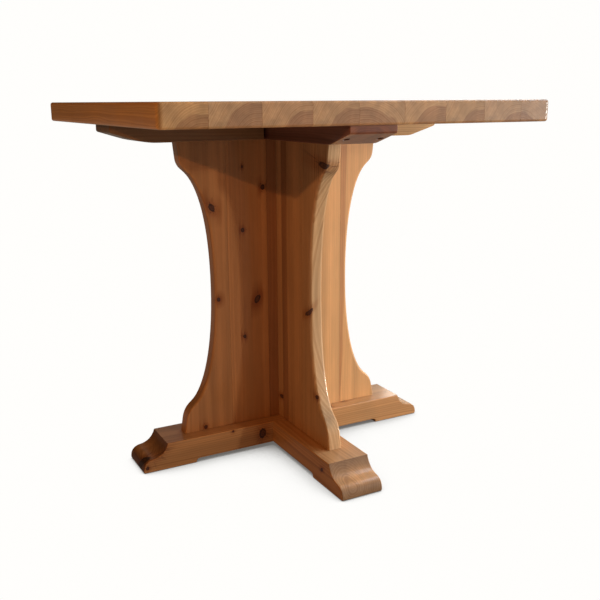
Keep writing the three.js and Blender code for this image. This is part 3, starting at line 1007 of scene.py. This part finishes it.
make_top()
make_plank("a", PLANK_A_WOOD, PLANK_LOW.z - OVERSHOOT, PLANK_MIDDLE + FIT_GAP / 2)
make_plank("b", PLANK_B_WOOD, PLANK_MIDDLE - FIT_GAP / 2, PLANK_HIGH.z + OVERSHOOT)
make_foot("a", FOOT_A_WOOD, -OVERSHOOT, FOOT_LAP + FIT_GAP / 2)
make_foot("b", FOOT_B_WOOD, FOOT_LAP - FIT_GAP / 2, FOOT_HIGH.z + OVERSHOOT)
make_batten("batten_a_left", "a", BATTEN_LEFT_WOOD)
make_batten("batten_a_right", "a", BATTEN_RIGHT_WOOD)
make_batten("batten_b", "b", BATTEN_B_WOOD)
for screw_way in "ab":
    for screw_name in screws(screw_way, "batten", "plank", "foot"):
        screw(screw_name)

# ---- Studio ----


WHITE = (1.0, 1.0, 0.96)
WARM = (1.0, 0.5, 0.2)
PALE = (1.0, 0.85, 0.72)
COOL = (0.55, 0.78, 1.0)
PAPER = rgb(1.0, 0.992, 0.973)  # the background and the open floor
CONTACT_SHADOW = rgb(0.14, 0.13, 0.12)
FLOOR_MATTE = rgb(0.20, 0.15, 0.11)
BOUNCE = rgb(0.121, 0.103, 0.087)  # what the floor throws back at the table
FLOOR_DROP = 0.0005  # keeps the floor clear of the feet's undersides
FLOOR_HALF = 30
SHADOW_REACH = 0.13
SURROUND = 0.07
SURROUND_RIGHT = 0.66
LIGHT_TARGET = Vector((0, 0, 0.4))


def camera_sees(graph, shown, otherwise):
    """One shader for the camera's own rays and another for all other rays."""
    path = graph.add("ShaderNodeLightPath").outputs["Is Camera Ray"]
    return graph.add("ShaderNodeMixShader", {0: path, 1: otherwise, 2: shown}).outputs[0]


def make_floor():
    """A pale floor that stays white to the camera and darkens only close to the feet."""
    floor = bmesh.new()
    bmesh.ops.create_grid(floor, x_segments=1, y_segments=1, size=FLOOR_HALF)
    plane = as_object("studio_floor", floor)
    plane.location.z = -FLOOR_DROP
    material, graph = new_material("studio_floor")
    near = graph.add("ShaderNodeAmbientOcclusion", {"Distance": SHADOW_REACH}, samples=8).outputs["AO"]
    white = graph.mix(graph.smooth(near, 0.12, 0.86), CONTACT_SHADOW, PAPER)
    shown = graph.add("ShaderNodeEmission", {"Color": white}).outputs[0]
    matte = graph.add("ShaderNodeBsdfDiffuse", {"Color": FLOOR_MATTE}).outputs[0]
    bounce = graph.add("ShaderNodeEmission", {"Color": graph.tinted(white, BOUNCE)}).outputs[0]
    lit = graph.add("ShaderNodeAddShader", {0: matte, 1: bounce}).outputs[0]
    seen = camera_sees(graph, shown, lit)
    graph.add("ShaderNodeOutputMaterial", {"Surface": seen})
    plane.data.materials.append(material)


def make_light(name, bearing, elevation, distance, size, power, color, glints=True):
    """A round soft light aimed at the column. The bearing turns from -Y towards +X.

    A light without glints isn't seen in the varnish.
    """
    light = bpy.data.lights.new(name, "AREA")
    light.shape = "DISK"
    light.size = size
    light.energy = power
    light.color = color
    lamp = bpy.data.objects.new(name, light)
    lamp.visible_glossy = glints
    bpy.context.scene.collection.objects.link(lamp)
    turn, lift = math.radians(bearing), math.radians(elevation)
    level = Vector((math.sin(turn), -math.cos(turn), 0)) * math.cos(lift)
    way = level + Vector((0, 0, math.sin(lift)))
    lamp.location = LIGHT_TARGET + way * distance
    lamp.rotation_euler = way.to_track_quat("Z", "Y").to_euler()


def make_world():
    """A white background for the camera, and for the rest a dim surround, brighter on the right."""
    world = bpy.data.worlds.new("studio")
    world.use_nodes = True
    world.node_tree.nodes.clear()
    bpy.context.scene.world = world
    graph = Graph(world.node_tree)
    white = graph.add("ShaderNodeBackground", {"Color": PAPER}).outputs[0]
    toward = graph.add("ShaderNodeTexCoord").outputs["Generated"]
    right = graph.math("MAXIMUM", graph.vector("DOT_PRODUCT", toward, X), 0.0)
    right = {"Color": rgb(*WHITE), "Strength": graph.math("MULTIPLY", right, SURROUND_RIGHT)}
    dim = {"Color": rgb(*WARM), "Strength": SURROUND}
    surround = graph.add("ShaderNodeAddShader", {
        0: graph.add("ShaderNodeBackground", right).outputs[0],
        1: graph.add("ShaderNodeBackground", dim).outputs[0],
    })
    seen = camera_sees(graph, white, surround.outputs[0])
    graph.add("ShaderNodeOutputWorld", {"Surface": seen})


CAMERA_PLACE = (-0.75399, -1.49512, 0.72955)
CAMERA_HEADING = 0.49221  # radians, from +Y towards +X
CAMERA_TILT = 0.24482  # radians, downwards
CAMERA_ROLL = -0.00616
CAMERA_LENS = 47.77  # millimetres, on a sensor 36 mm wide


def make_camera():
    data = bpy.data.cameras.new("camera")
    data.sensor_width = 36
    data.lens = CAMERA_LENS
    camera = bpy.data.objects.new("camera", data)
    bpy.context.scene.collection.objects.link(camera)
    heading = Matrix.Rotation(-CAMERA_HEADING, 4, "Z")
    tilt = Matrix.Rotation(math.pi / 2 - CAMERA_TILT, 4, "X")
    roll = Matrix.Rotation(CAMERA_ROLL, 4, "Z")
    camera.matrix_world = Matrix.Translation(CAMERA_PLACE) @ heading @ tilt @ roll
    bpy.context.scene.camera = camera


make_floor()
make_world()
make_camera()
make_light("side", 60, 4, 8.0, 1.6, 450, WHITE)
make_light("key", 30, 13.4, 3.5, 0.2, 16, PALE, glints=False)
make_light("fill", -53, 20, 3.5, 0.06, 17, WARM, glints=False)
make_light("sky", 85, 45, 3.0, 1.8, 41, COOL)
make_light("back", 134, 16, 4.0, 1.1, 19, PALE)
bpy.context.scene.view_settings.view_transform = "Standard"

bpy.context.view_layer.update()
